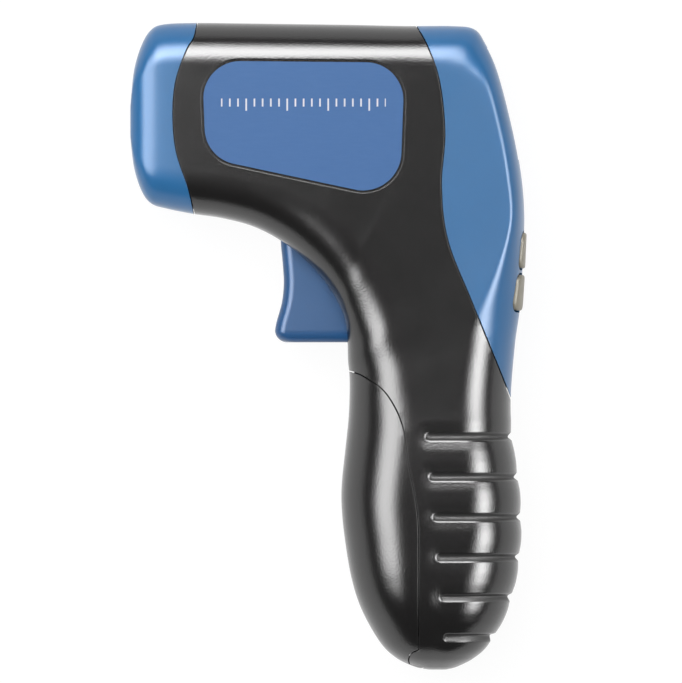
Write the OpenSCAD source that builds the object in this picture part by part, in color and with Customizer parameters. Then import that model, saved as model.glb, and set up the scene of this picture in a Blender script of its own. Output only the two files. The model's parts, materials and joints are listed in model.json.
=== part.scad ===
// Pistol-grip laser tachometer, lying on its right side.
// X runs from the nose to the display, Y from the foot of the grip to the top of the barrel,
// and Z from the right half of the housing up to the left half. All sizes are millimetres.

/* [Body] */
// Length from the nose to the rear cover
body_len = 103.4; // [100:0.2:112]
// Height from the foot of the grip to the top of the barrel
body_height = 170; // [166:1:182]
// Width across both halves of the housing
body_width = 44; // [43:0.5:50]
// Depth of the grip, front to back, at its widest
grip_depth = 47.3; // [46.5:0.1:52]
// Wall of the moulded shells
wall = 2.4; // [2.2:0.1:2.7]
// Gap along the visible seams
seam_gap = 0.3; // [0.2:0.05:0.4]
// Length of the lip that joins two shells
lip_len = 3; // [2:0.5:4]
// Depth of the grip grooves, and of the step that the lip lies under
groove_depth = 1.3; // [1:0.1:1.5]
// Width of a grip groove
groove_width = 2.2; // [1.6:0.2:3]
// Spacing of the grip grooves
groove_pitch = 10.6; // [10:0.1:11]
// Depth of the label recess
recess_depth = 0.7; // [0.5:0.1:1]
// Thickness of the label
label_thick = 0.4; // [0.2:0.1:0.5]

/* [Optics] */
// Radius of the port in the front bezel
port_r = 15.5; // [14:0.5:16.5]
// Depth from the top of the barrel to the optical axis
axis_drop = 25.5; // [25:0.1:26]
// Radius of the receiver lens
lens_r = 8.5; // [7:0.25:9]
// Radius of the laser module
laser_r = 3.5; // [3:0.25:4]
// Distance of the laser below the optical axis
laser_drop = 13.5; // [13:0.25:14]
// Length of the tube behind the lens
tube_len = 25; // [20:1:28]

/* [Trigger] */
// Width of the trigger
trigger_width = 15; // [13:0.5:17]
// Rounding of the trigger's front edges
trigger_round = 3; // [2:0.25:4]
// Radius of the trigger's pin
pin_r = 1.5; // [1:0.25:2]
// Diameter of the trigger's return spring
spring_d = 5; // [4:0.5:6]
// Turns of the return spring
spring_turns = 6; // [4:1:7]

/* [Display and keys] */
// Height of the display window along the slope of the cover
window_height = 27; // [24:0.5:28]
// Width of the display window
window_width = 22; // [18:0.5:23]
// Thickness of the window pane
window_thick = 1.2; // [1:0.1:1.4]
// Width of a key
key_width = 9; // [8:0.5:10]
// Height of a key
key_height = 9.4; // [8:0.2:9.8]
// Spacing of the two rows of keys
key_pitch = 11.1; // [11:0.1:11.6]
// How far a key stands out of the cover
key_proud = 0.7; // [0.5:0.1:1.2]
// Travel of a key
key_travel = 0.6; // [0.4:0.1:0.8]

/* [Battery] */
// Width of the battery
battery_width = 26.5; // [25.5:0.25:27]
// Thickness of the battery
battery_thick = 17.5; // [16.5:0.25:18]
// Length of the battery without its terminals
battery_len = 46; // [44:0.5:46.5]
// Radius of the door's hinge knuckle
knuckle_r = 2.4; // [2.2:0.1:2.6]
// Radius of the door's hinge pin
door_pin_r = 0.8; // [0.6:0.1:0.9]

/* [Fastenings] */
// Radius of the screws that join the halves
screw_r = 1.2; // [1:0.1:1.4]
// Radius of a screw boss
boss_r = 3.2; // [3:0.1:3.5]
// Running clearance between pieces
clearance = 0.2; // [0.15:0.05:0.3]

/* [Hidden] */
$fn = 48;

black = "#2c2b2c";
blue = "#5a8fbe";
label_blue = "#5073ac";
board_green = "#2f6b45";
steel = "#b8bcc2";

half_w = body_width / 2;
nose_x = -body_len / 2;
rear_x = body_len / 2;
top_y = body_height / 2;
foot_y = -body_height / 2;
grip_back = rear_x - 0.7;
grip_front = grip_back - grip_depth;
reach = 2 * (body_len + body_height);
cut_len = 20;

// Small fits: a fixed pin, a turning pin and the overlap of solids that join
snug = 0.02;
running = 0.05;
lap = 0.1;

// Heights down from the top and up from the foot. The barrel keeps its height and the grip stretches.
barrel_height = 52;
drawn_grip_height = 118;
stretch = (body_height - barrel_height) / drawn_grip_height;
function below(drop) = top_y - min(drop, barrel_height) - max(0, drop - barrel_height) * stretch;
function above(rise) = foot_y + rise * stretch;

// The body is lofted through stations that fan from the nose round to the foot.
// Each row: front point, rear point, half width, front round, rear round, side round.
stations = [
  [nose_x, below(30.6), nose_x, below(21.3), half_w - 5, 1.4, 1.4, 4],
  [nose_x + 0.9, below(37.9), nose_x + 0.9, below(12.6), half_w - 3, 4, 4, 6],
  [nose_x + 2.7, below(43.7), nose_x + 2.7, below(6.3), half_w - 1.4, 8, 8, 8.5],
  [nose_x + 5.1, below(47.2), nose_x + 5.1, below(2.1), half_w - 0.5, 10, 10, 10.5],
  [nose_x + 9.1, below(48.6), nose_x + 8.5, below(0.4), half_w - 0.1, 10.5, 10.5, 11.5],
  [nose_x + 16.7, below(50.1), nose_x + 17, top_y, half_w, 10.5, 10.5, 12],
  [nose_x + 23.6, below(51.1), nose_x + 28.8, below(0.1), half_w, 10.5, 10.5, 12],
  [grip_front - 23.7, below(53.2), nose_x + 43.3, below(0.3), half_w, 11, 10.5, 12],
  [grip_front - 16.3, below(56.9), rear_x - 45.4, below(0.5), half_w, 12, 10.5, 12],
  [grip_front - 10.3, below(61.6), rear_x - 30.9, below(0.8), half_w, 13, 10.5, 12],
  [grip_front - 5.6, below(66.4), rear_x - 19, below(0.8), half_w - 0.2, 13.5, 10, 11.5],
  [grip_front - 3.2, below(69.8), rear_x - 13.2, below(1.6), half_w - 0.5, 14, 9.5, 11],
  [grip_front - 1.6, below(72.2), rear_x - 10.3, below(5.3), half_w - 0.8, 14, 7.5, 10],
  [grip_front - 0.2, below(75), rear_x - 7.1, below(12.6), half_w - 1, 14, 6, 10],
  [grip_front + 0.8, below(77.8), rear_x - 3.7, below(25.3), half_w - 1.2, 14, 5.2, 10],
  [grip_front + 1.4, below(81.2), rear_x - 1.1, below(37.9), half_w - 1.4, 14, 5.2, 11],
  [grip_front + 1.6, below(84.6), rear_x, below(49), half_w - 1.5, 14, 5.2, 12.5],
  [grip_front + 1.7, below(88.8), rear_x - 0.2, below(59.6), half_w - 1.5, 14, 8.5, 14],
  [grip_front + 2.1, below(93), rear_x - 1, below(74.1), half_w - 1.5, 15, 14.5, 15.5],
  [grip_front + 2.1, below(98.3), rear_x - 2.4, below(84.6), half_w - 1.3, 16, 14.5, 16],
  [grip_front + 1.8, above(65.6), grip_back - 2.8, above(70.9), half_w - 1, 17, 14, 16.5],
  [grip_front + 1, above(58), grip_back - 2.2, above(60.4), half_w - 0.5, 17, 14, 17],
  [grip_front + 0.1, above(49.5), grip_back - 0.6, above(49.8), half_w - 0.1, 17, 14, 17.5],
  [grip_front, above(43.2), grip_back, above(40.6), half_w, 17, 14, 17.5],
  [grip_front + 0.8, above(34.8), grip_back - 0.1, above(32.7), half_w - 0.1, 17, 14, 17.5],
  [grip_front + 2.6, above(24.2), grip_back - 1.2, above(24.2), half_w - 0.7, 16, 14, 17],
  [grip_front + 5.3, above(15.8), grip_back - 3.5, above(15.8), half_w - 2.5, 14, 13, 16],
  [grip_front + 10, above(7.4), grip_back - 7.8, above(7.4), half_w - 6.5, 11, 10.5, 13],
  [grip_front + 14.2, above(3.2), grip_back - 12.2, above(3.2), half_w - 10.5, 8, 8, 9.5],
  [grip_front + 19, above(0.8), grip_back - 16.7, above(0.8), half_w - 15.5, 4.5, 4.5, 5.5],
  [grip_front + 22.7, foot_y, grip_back - 19.6, foot_y, half_w - 19, 1.5, 1.5, 2.5]
];
last_station = len(stations) - 1;

// Curve through a list of points or rows
function between(a, b, c, d, t) =
  0.5 * (2 * b + (c - a) * t + (2 * a - 5 * b + 4 * c - d) * t * t + (3 * b - a - 3 * c + d) * t * t * t);
function pick(list, i) = list[max(0, min(len(list) - 1, i))];
function curve_at(list, s) =
  let (i = min(floor(s), len(list) - 2))
  between(pick(list, i - 1), pick(list, i), pick(list, i + 1), pick(list, i + 2), s - i);
function curve(list, steps) =
  [for (k = [0 : (len(list) - 1) * steps]) curve_at(list, k / steps)];
function unit(v) = v / norm(v);
function backwards(list) = [for (i = [len(list) - 1 : -1 : 0]) list[i]];

// Limits for sections that are set in: squareness, rounds, their share of the length, height left
least_square = 0.6;
least_round = 0.6;
round_share = 0.48;
least_side = 0.2;

// How squarely a station's line meets the outline, so that a wall keeps its thickness
function squareness(s, line, k) =
  let (
    before = curve_at(stations, max(0, s - 0.5)),
    after = curve_at(stations, min(last_station, s + 0.5)),
    run = unit([after[k] - before[k], after[k + 1] - before[k + 1]])
  )
  max(least_square, abs(line.x * run.y - line.y * run.x));

// Upper half of one section, set in from the outside by a given depth
function arch(s, inset, arc_steps) =
  let (
    row = curve_at(stations, s),
    line = unit([row[2] - row[0], row[3] - row[1]]),
    a = [row[0], row[1]] + line * inset / squareness(s, line, 0),
    b = [row[2], row[3]] - line * inset / squareness(s, line, 2),
    high = min(half_w, row[4]) - inset,
    room = round_share * norm(b - a),
    ra = min(room, max(least_round, row[5] - inset)),
    rb = min(room, max(least_round, row[6] - inset)),
    rz = min(high - least_side, max(least_round, row[7] - inset))
  )
  concat(
    [for (k = [0 : arc_steps]) let (t = 90 * k / arc_steps, p = a + line * ra * (1 - cos(t)))
      [p.x, p.y, high - rz + rz * sin(t)]],
    [for (k = [arc_steps : -1 : 0]) let (t = 90 * k / arc_steps, p = b - line * rb * (1 - cos(t)))
      [p.x, p.y, high - rz + rz * sin(t)]]
  );
function mirrored(points) = [for (p = backwards(points)) [p.x, p.y, -p.z]];
function grounded(points, base) =
  let (a = points[0], b = points[len(points) - 1])
  concat([[a.x, a.y, base]], points, [[b.x, b.y, base]]);
function span(first, last, steps) = [for (k = [0 : (last - first) * steps]) first + k / steps];

// Closed solid through a list of rings with equal numbers of points
module skin(rings) {
  n = len(rings[0]);
  m = len(rings);
  sides = [for (i = [0 : m - 2], j = [0 : n - 1])
    let (a = i * n + j, b = i * n + (j + 1) % n) each [[a, b, a + n], [b, b + n, a + n]]];
  first_cap = [for (j = [n - 1 : -1 : 0]) j];
  last_cap = [for (j = [0 : n - 1]) (m - 1) * n + j];
  polyhedron([for (ring = rings) each ring], concat([first_cap], sides, [last_cap]), convexity = 8);
}

// The whole body between two stations
module body(inset, first, last, steps, arc_steps) {
  skin([for (s = span(first, last, steps)) let (up = arch(s, inset, arc_steps)) concat(up, mirrored(up))]);
}

// The body above the middle plane
module half_body(inset, first, last, steps, arc_steps, base = 0) {
  skin([for (s = span(first, last, steps)) grounded(arch(s, inset, arc_steps), base)]);
}

// Round rod along a path
function ring_on(path, i, r, sides, ref) =
  let (
    run = unit(pick(path, i + 1) - pick(path, i - 1)),
    u = unit(cross(run, ref)),
    v = cross(run, u)
  )
  [for (k = [0 : sides - 1]) path[i] + r * (u * cos(360 * k / sides) + v * sin(360 * k / sides))];
module rod(path, r, sides, ref) {
  skin([for (i = [0 : len(path) - 1]) backwards(ring_on(path, i, r, sides, ref))]);
}

module lifted() {
  translate([0, 0, half_w]) children();
}

module slab() {
  linear_extrude(height = 3 * body_width, center = true) children();
}

module block(low, high) {
  translate(low) cube(high - low);
}

module round_rect(w, h, r) {
  square([w - 2 * r, h], center = true);
  square([w, h - 2 * r], center = true);
  for (sx = [-1, 1], sy = [-1, 1]) translate([sx * (w / 2 - r), sy * (h / 2 - r)]) circle(r);
}

// Seams between the mouldings, seen from the side
nose_seam = [for (p = [[17.8, 4], [17.4, -0.5], [16.6, -4.1], [14.7, -7.4], [11.9, -15.6], [11.2, -24.5],
  [12.1, -34], [15.2, -43.5], [16.7, -50.4], [17.3, -56]]) [nose_x + p[0], below(-p[1])]];
rear_seam = [for (p = [[-30.5, 4], [-28.4, -0.7], [-25.4, -6.3], [-22.3, -15.5], [-20.9, -29], [-21.8, -43],
  [-20.1, -57.2], [-13.8, -73.3], [-6.5, -91.1], [-2, -102.5]]) [rear_x + p[0], below(-p[1])]];
door_seam = [for (p = [[-4, 79.6], [2.2, 78.5], [6.4, 76.8], [11.8, 72.5], [15.9, 64.6], [17.6, 54],
  [19.9, 41], [20.2, 28], [20.2, 14], [20.2, -4]]) [grip_front + p[0], above(p[1])]];
seam_steps = 3;
nose_far = nose_x - 10;
rear_far = rear_x + 10;
door_far = grip_front - 10;

module nose_region() {
  line = curve(nose_seam, seam_steps);
  polygon(concat(line, [[nose_far, line[len(line) - 1].y], [nose_far, line[0].y]]));
}

module rear_region() {
  line = curve(rear_seam, seam_steps);
  polygon(concat(line, [[rear_far, line[len(line) - 1].y], [rear_far, line[0].y]]));
}

module door_region() {
  line = curve(door_seam, seam_steps);
  polygon(concat(line, [[door_far, line[len(line) - 1].y], [door_far, line[0].y]]));
}

// Side view of what the halves keep, with the three neighbours grown by a given amount
module halves_region(grow) {
  difference() {
    square(reach, center = true);
    offset(delta = grow) nose_region();
    offset(delta = grow) rear_region();
    offset(delta = grow) door_region();
  }
}

// Band along a seam, inside a region
module seam_band(depth) {
  difference() {
    children();
    offset(delta = -depth) children();
  }
}

// Grip grooves, from the lowest up
groove_count = 6;
groove_lean = 0.95;
groove_left = grip_front + 27.8;
groove_low = above(8.4);
module grooves() {
  for (i = [0 : groove_count - 1])
    translate([groove_left - groove_lean * i, groove_low + i * groove_pitch]) {
      circle(d = groove_width);
      translate([0, -groove_width / 2]) square([grip_depth, groove_width]);
    }
}

// Label outline, seen from the side
module label_outline(inset) {
  hull() {
    translate([nose_x + 28.8, top_y - 19.8]) circle(10.3 - inset);
    translate([nose_x + 29.1, top_y - 27.7]) circle(10.3 - inset);
    translate([rear_x - 41.6, top_y - 20.3]) circle(10.5 - inset);
    translate([rear_x - 42.4, top_y - 34]) circle(10.8 - inset);
  }
}
label_edge = 0.7;

// Coarse settings for inner surfaces and fine ones for the outside
fine = 2;
fine_arc = 5;
coarse = 1;
coarse_arc = 3;
lip_in = groove_depth;
rebate_in = groove_depth - clearance;

// Hinge of the battery door, at the foot of its seam
hinge = [grip_front + 20.2, foot_y + 0.2 + knuckle_r];
knuckle_half = 4.5;
lug_half = knuckle_half + 3;
hinge_gap = 0.3;
hinge_zone = 8;
hinge_web = 2;

// Battery in the grip, standing on a rib
battery_spot = [grip_front + 22.3, foot_y + 18];
battery_round = 1.6;
terminal_h = 2.6;
terminal_gap = 12.7;
terminal_rs = [2.9, 4.1];
clip_thick = 4.5;
clip_gap = 0.1;
clip_step = 1.5;
clip_top = battery_spot.y + battery_len + clip_gap + clip_thick;
cradle_ys = [battery_spot.y + 8, battery_spot.y + 36];
cradle_thick = 1.6;
cradle_front = hinge.x + 2;

module battery_outline(grow) {
  round_rect(battery_width + 2 * grow, battery_thick + 2 * grow, battery_round);
}
module on_battery(y) {
  translate([battery_spot.x, battery_spot.y + y, 0]) rotate([-90, 0, 0]) children();
}

// Screws that join the halves
screw_spots = [
  [nose_x + 25, top_y - 45.2], [rear_x - 31, top_y - 6.6],
  [grip_back - 23.6, clip_top + 8.4], [grip_back - 19.8, battery_spot.y - 7]
];
screw_head_r = 2.7;
screw_head_h = 2;
screw_seat_z = -13;
screw_tip_z = 8;

// Optics on one axis behind the port
axis_y = top_y - axis_drop;
laser_y = axis_y - laser_drop;
plate_front = nose_x + 4.4;
plate_thick = 2;
plate_back = plate_front + plate_thick;
plate_r = port_r + 2.8;
tube_wall = 1.2;
tube_r = lens_r + tube_wall;
tube_end = plate_back + tube_len;
tube_seat = 0.6;
tube_base = 3;
plate_chamfer = 1.2;
laser_len = 18;
laser_rim = 1;
laser_wall = 1.4;
laser_bore = 2;
saddle_x = nose_x + 21.5;
saddle_thick = 2.4;

module along_x(x, y) {
  translate([x, y, 0]) rotate([0, 90, 0]) children();
}

// Trigger, hung from its pin
pivot = [grip_front - 11.5, below(52)];
trigger_half = trigger_width / 2;
trigger_front = [for (p = [[-15.6, -54], [-16, -57.2], [-15.5, -63], [-15.2, -68.3], [-15.7, -73.4],
  [-17.1, -78.5], [-17.5, -80.7]]) [grip_front + p[0], below(-p[1])]];
trigger_toe = 3.2;
trigger_boss_r = pin_r + 2.8;
trigger_back_top = [grip_front - 3, below(54)];
trigger_back_low = [grip_front + 5, below(83.9)];
trigger_low = trigger_front[len(trigger_front) - 1].y - trigger_toe;
toe_narrowing = 0.8;
neck_drop = 4;
pin_half = trigger_half + 5.8;
slot_play = 0.5;
slot_width = trigger_width + 2 * clearance + 0.4;
function trigger_back_x(y) =
  let (f = (y - trigger_back_top.y) / (trigger_back_low.y - trigger_back_top.y))
  trigger_back_top.x + f * (trigger_back_low.x - trigger_back_top.x);

// Return spring between the trigger and a rib
spring_y = below(63);
spring_front = trigger_back_x(spring_y) + clearance;
spring_back = spring_front + 8;
spring_rib_thick = 1.6;
spring_wire_r = 0.35;

// Trigger switch on two pads of the right half
switch_size = [6.5, 12.8, 5.8];
switch_y = below(73.6);
switch_front = trigger_back_x(switch_y) + 6.5;
plunger_len = 2.2;
plunger_r = 1.2;
switch_back = switch_front + switch_size.x;
pad_thick = 1.6;
pad_ys = [-4.6, 3];
pad_rise = 1.2;
stop_half = 5;
stop_high = 4;
mount_sink = 0.5;

// Main board on two standoffs of the right half
board_thick = 1.6;
board_top = -11.4;
board_low = [nose_x + 30, top_y - 44];
board_high = [rear_x - 36, top_y - 8];
standoff_spots = [[nose_x + 34.5, top_y - 12.5], [rear_x - 40, top_y - 39.5]];
standoff_r = 2.6;
small_screw_r = 0.9;
small_head_r = 1.9;
small_head_h = 1.2;
small_screw_len = 6;
chip_size = [10, 10, 1.6];

// Display on the slope of the rear cover
display_spot = [rear_x - 5, top_y - 21.1];
display_tilt = 14.8;
pane_edge = 1.6;
pane_high = window_height / 2 + pane_edge;
pane_wide = window_width / 2 + pane_edge;
pane_front = -0.9;
pane_back = pane_front - window_thick;
lcd_front = -3.4;
lcd_thick = 2.8;
lcd_edge = 1;
glow_thick = 1.4;
lcd_back = lcd_front - lcd_thick;
glow_back = lcd_back - glow_thick;
display_board_height = window_height + 12;
display_board_width = window_width + 3;
display_screw_y = window_height / 2 + 4;
display_screw_z = window_width / 2 - 2.5;
post_r = 2.2;
module on_display() {
  translate([display_spot.x, display_spot.y, 0]) rotate([0, 0, display_tilt]) children();
}

// Keys in two rows of two
key_tilt = -4;
key_round = 2.8;
key_spot = [rear_x - 1, below(65.3)];
key_side = 8.6;
key_flange = 0.7;
key_back = -5.2;
tact_size = [3.5, 6, 6];
tact_tip = 1.2;
tact_button_r = 1.7;
tact_play = 0.1;
tact_front = key_back - key_travel - tact_play;
key_board_front = tact_front - tact_tip - tact_size.x;
key_board_height = 2 * key_pitch + 10;
key_board_width = 2 * key_side + 12.8;
key_screw_y = key_pitch + 2.6;
module on_keys() {
  translate([key_spot.x, key_spot.y, 0]) rotate([0, 0, key_tilt]) children();
}
module key_prism(row, side, grow) {
  on_keys() translate([key_back, row * key_pitch / 2, side * key_side]) rotate([0, 90, 0])
    linear_extrude(height = 12) round_rect(key_width + 2 * grow, key_height + 2 * grow, key_round + grow);
}

// Bosses and ribs inside both halves
module inner_ribs() {
  for (p = screw_spots) translate([p.x, p.y, 0]) cylinder(r = boss_r, h = body_width);
  translate([pivot.x, pivot.y, trigger_half + clearance]) cylinder(r = trigger_boss_r, h = body_width);
  block([saddle_x, foot_y, 0], [saddle_x + saddle_thick, top_y, half_w]);
  block([spring_back + clearance, spring_y - 3.5, 0],
    [spring_back + clearance + spring_rib_thick, spring_y + 3.5, half_w]);
  for (y = cradle_ys)
    block([cradle_front, y, 0], [rear_x, y + cradle_thick, half_w]);
  block([cradle_front, battery_spot.y - cradle_thick, 0], [rear_x, battery_spot.y, half_w]);
}

// Room that the inner pieces need in those ribs
module inner_room() {
  along_x(nose_x, axis_y) cylinder(r = tube_r + running, h = body_len);
  along_x(nose_x, laser_y) cylinder(r = laser_r + running, h = body_len);
  on_battery(0) linear_extrude(height = battery_len + 10) battery_outline(clearance);
}

// Opening for the trigger, seen from the side
module trigger_opening() {
  front = curve(trigger_front, 2);
  polygon(concat(
    [for (p = front) p - [slot_play, 0]],
    [[front[len(front) - 1].x - slot_play, trigger_low - slot_play],
      [grip_front + 12, trigger_low - slot_play],
      [grip_front + 4, front[0].y]]
  ));
}

// Left half, above the middle plane
module half_shell() {
  difference() {
    union() {
      intersection() {
        half_body(0, 3, last_station, fine, fine_arc);
        slab() {
          difference() {
            halves_region(seam_gap / 2);
            grooves();
          }
          translate(hinge) circle(knuckle_r);
        }
      }
      intersection() {
        half_body(lip_in, 3, last_station - 1, coarse, coarse_arc);
        slab() difference() {
          halves_region(-lip_len);
          translate([door_far, foot_y - 1]) square([hinge.x - door_far + seam_gap / 2, hinge_zone + 1]);
        }
      }
    }
    difference() {
      half_body(wall, 2, last_station - 2, coarse, coarse_arc, -1);
      inner_ribs();
    }
    inner_room();
    translate([0, 0, half_w - recess_depth]) linear_extrude(height = wall) label_outline(0);
    linear_extrude(height = slot_width, center = true) trigger_opening();
    translate([hinge.x, hinge.y, -1]) cylinder(r = knuckle_r + hinge_gap, h = knuckle_half + 1 + hinge_gap);
    translate([hinge.x, hinge.y, 0]) cylinder(r = door_pin_r + snug, h = lug_half);
    translate([pivot.x, pivot.y, 0]) cylinder(r = pin_r + snug, h = pin_half + clearance);
  }
}

module left_housing() {
  color(black) lifted() difference() {
    half_shell();
    for (p = screw_spots) translate([p.x, p.y, -1])
      cylinder(r = screw_r + snug, h = screw_tip_z + 2);
  }
}

module right_housing() {
  color(black) lifted() difference() {
    union() {
      mirror([0, 0, 1]) half_shell();
      right_mounts();
    }
    for (p = screw_spots) {
      translate([p.x, p.y, -body_width])
        cylinder(r = screw_head_r + clearance, h = body_width + screw_seat_z);
      translate([p.x, p.y, -half_w]) cylinder(r = screw_r + clearance, h = body_width);
    }
    for (p = standoff_spots) translate([p.x, p.y, board_top - board_thick - small_screw_len])
      cylinder(r = small_screw_r + snug, h = small_screw_len + 1);
  }
}

// Standoffs of the main board and pads of the trigger switch, from the right wall
module right_mounts() {
  floor_z = -half_w + wall - mount_sink;
  pad_low = floor_z + pad_rise;
  for (p = standoff_spots) translate([p.x, p.y, floor_z])
    cylinder(r = standoff_r, h = board_top - board_thick - floor_z);
  pad_top = -switch_size.z / 2;
  for (dy = pad_ys) block([switch_front, switch_y + dy, pad_low],
    [switch_back + pad_thick, switch_y + dy + pad_thick, pad_top]);
  block([switch_back, switch_y - stop_half, pad_low],
    [switch_back + pad_thick, switch_y + stop_half, pad_top + stop_high]);
}

module front_bezel() {
  color(blue) lifted() difference() {
    intersection() {
      body(0, 0, 6, fine, fine_arc);
      slab() offset(delta = -seam_gap / 2) nose_region();
    }
    intersection() {
      body(rebate_in, 3, 6, coarse, coarse_arc);
      slab() seam_band(lip_len + clearance) nose_region();
    }
    intersection() {
      body(wall, 3, 6, coarse, coarse_arc);
      block([plate_back + clearance, foot_y, -half_w], [rear_x, top_y, half_w]);
    }
    along_x(nose_x - 5, axis_y) cylinder(r = port_r, h = cut_len);
    along_x(plate_front - clearance, axis_y) cylinder(r = plate_r + clearance, h = cut_len);
  }
}

module rear_cover() {
  color(blue) lifted() difference() {
    intersection() {
      body(0, 9, 21, fine, fine_arc);
      slab() offset(delta = -seam_gap / 2) rear_region();
    }
    intersection() {
      body(rebate_in, 9, 21, coarse, coarse_arc);
      slab() seam_band(lip_len + clearance) rear_region();
    }
    difference() {
      body(wall, 9, 21, coarse, coarse_arc);
      cover_posts();
    }
    on_display() {
      block([pane_back, -pane_high - clearance, -pane_wide - clearance],
        [cut_len / 2, pane_high + clearance, pane_wide + clearance]);
      block([-cut_len, -window_height / 2, -window_width / 2],
        [cut_len / 2, window_height / 2, window_width / 2]);
      for (sy = [-1, 1], sz = [-1, 1]) translate([glow_back - 1, sy * display_screw_y, sz * display_screw_z])
        rotate([0, 90, 0]) cylinder(r = small_screw_r + snug, h = small_screw_len);
    }
    for (row = [-1, 1], side = [-1, 1]) key_prism(row, side, clearance);
    on_keys() for (sy = [-1, 1]) translate([key_board_front - 1, sy * key_screw_y, 0])
      rotate([0, 90, 0]) cylinder(r = small_screw_r + snug, h = small_screw_len);
  }
}

// Posts inside the cover that carry the two boards
module cover_posts() {
  on_display() for (sy = [-1, 1], sz = [-1, 1])
    translate([glow_back, sy * display_screw_y, sz * display_screw_z])
      rotate([0, 90, 0]) cylinder(r = post_r, h = cut_len);
  on_keys() for (sy = [-1, 1]) translate([key_board_front, sy * key_screw_y, 0])
    rotate([0, 90, 0]) cylinder(r = post_r, h = cut_len);
}

module battery_door() {
  color(black) lifted() difference() {
    union() {
      difference() {
        intersection() {
          body(0, 17, last_station, fine, fine_arc);
          slab() offset(delta = -seam_gap / 2) door_region();
        }
        intersection() {
          body(rebate_in, 17, last_station - 1, coarse, coarse_arc);
          slab() seam_band(lip_len + clearance) door_region();
        }
        body(wall, 17, last_station - 2, coarse, coarse_arc);
        translate([hinge.x, hinge.y, -half_w]) cylinder(r = knuckle_r + hinge_gap, h = body_width);
      }
      intersection() {
        body(0, 24, last_station, fine, fine_arc);
        translate([hinge.x, hinge.y, -knuckle_half]) {
          cylinder(r = knuckle_r, h = 2 * knuckle_half);
          translate([-knuckle_r - hinge_web, -knuckle_r, 0])
            cube([knuckle_r + hinge_web, knuckle_r + hinge_web / 2, 2 * knuckle_half]);
        }
      }
    }
    translate([hinge.x, hinge.y, -half_w]) cylinder(r = door_pin_r + running, h = body_width);
  }
}

module side_label() {
  color(label_blue) lifted() translate([0, 0, half_w - recess_depth])
    linear_extrude(height = label_thick) label_outline(label_edge);
}

// One level of the trigger blade
function blade_ring(y, front, half, round) =
  let (back = trigger_back_x(y), n = 3)
  concat(
    [[back, y, -half]],
    [for (k = [0 : n]) let (t = 90 * k / n)
      [front + round * (1 - sin(t)), y, -half + round * (1 - cos(t))]],
    [for (k = [n : -1 : 0]) let (t = 90 * k / n)
      [front + round * (1 - sin(t)), y, half - round * (1 - cos(t))]],
    [[back, y, half]]
  );

module trigger() {
  front = curve(trigger_front, 2);
  toe = front[len(front) - 1];
  levels = concat(
    [for (p = front) blade_ring(p.y, p.x, trigger_half, trigger_round)],
    [for (t = [30, 60, 90]) blade_ring(toe.y - trigger_toe * sin(t), toe.x + trigger_toe * (1 - cos(t)),
      trigger_half - toe_narrowing * trigger_toe * (1 - cos(t)), trigger_round)]
  );
  color(blue) lifted() difference() {
    union() {
      skin(levels);
      translate([pivot.x, pivot.y, -trigger_half]) {
        cylinder(r = trigger_boss_r, h = trigger_width);
        linear_extrude(height = trigger_width)
          polygon([[0, trigger_boss_r - 0.3], [front[0].x - pivot.x + 1, front[0].y - pivot.y + 0.2],
            [front[0].x - pivot.x + 1, front[0].y - pivot.y - neck_drop],
            [trigger_back_top.x - pivot.x, front[0].y - pivot.y - neck_drop],
            [trigger_back_top.x - pivot.x, front[0].y - pivot.y]]);
      }
    }
    translate([pivot.x, pivot.y, -half_w]) cylinder(r = pin_r + running, h = body_width);
  }
}

module trigger_pin() {
  color(steel) lifted() translate([pivot.x, pivot.y, -pin_half])
    cylinder(r = pin_r, h = 2 * pin_half);
}

module trigger_spring() {
  steps = 9;
  turn_r = spring_d / 2 - spring_wire_r;
  room = spring_back - spring_front - 2 * spring_wire_r;
  path = [for (k = [0 : spring_turns * steps]) let (t = 360 * k / steps)
    [spring_front + spring_wire_r + room * k / (spring_turns * steps),
      spring_y + turn_r * cos(t), turn_r * sin(t)]];
  color(steel) lifted() rod(path, spring_wire_r, 5, [1, 0, 0]);
}

module trigger_switch() {
  color(black) lifted() {
    block([switch_front, switch_y - switch_size.y / 2, -switch_size.z / 2],
      [switch_back, switch_y + switch_size.y / 2, switch_size.z / 2]);
    along_x(switch_front - plunger_len, switch_y) cylinder(r = plunger_r, h = plunger_len + 1);
  }
}

module key(row, side) {
  color("#c9c6b6") lifted() {
    intersection() {
      key_prism(row, side, 0);
      body(-key_proud, 15, 19, coarse, 4);
    }
    intersection() {
      key_prism(row, side, key_flange);
      body(wall + clearance, 15, 19, coarse, coarse_arc);
    }
  }
}
module key_upper_left() { key(1, 1); }
module key_upper_right() { key(1, -1); }
module key_lower_left() { key(-1, 1); }
module key_lower_right() { key(-1, -1); }

module key_board() {
  color(board_green) lifted() on_keys() difference() {
    block([key_board_front - board_thick, -key_board_height / 2, -key_board_width / 2],
      [key_board_front, key_board_height / 2, key_board_width / 2]);
    for (sy = [-1, 1]) translate([key_board_front - 5, sy * key_screw_y, 0])
      rotate([0, 90, 0]) cylinder(r = small_screw_r + clearance, h = 10);
  }
}

module key_switches() {
  color(steel) lifted() on_keys() for (row = [-1, 1], side = [-1, 1])
    translate([key_board_front, row * key_pitch / 2, side * key_side]) {
      translate([0, -tact_size.y / 2, -tact_size.z / 2]) cube(tact_size);
      rotate([0, 90, 0]) cylinder(r = tact_button_r, h = tact_size.x + tact_tip);
    }
}

module display_window() {
  color("#d8e0e4") lifted() on_display()
    block([pane_back, -pane_high, -pane_wide], [pane_front, pane_high, pane_wide]);
}

module lcd_panel() {
  color("#8f9a84") lifted() on_display()
    block([lcd_back, -window_height / 2 - lcd_edge, -window_width / 2 - lcd_edge],
      [lcd_front, window_height / 2 + lcd_edge, window_width / 2 + lcd_edge]);
}

module backlight() {
  color("#e8ead8") lifted() on_display()
    block([glow_back, -window_height / 2, -window_width / 2],
      [lcd_back, window_height / 2, window_width / 2]);
}

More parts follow.
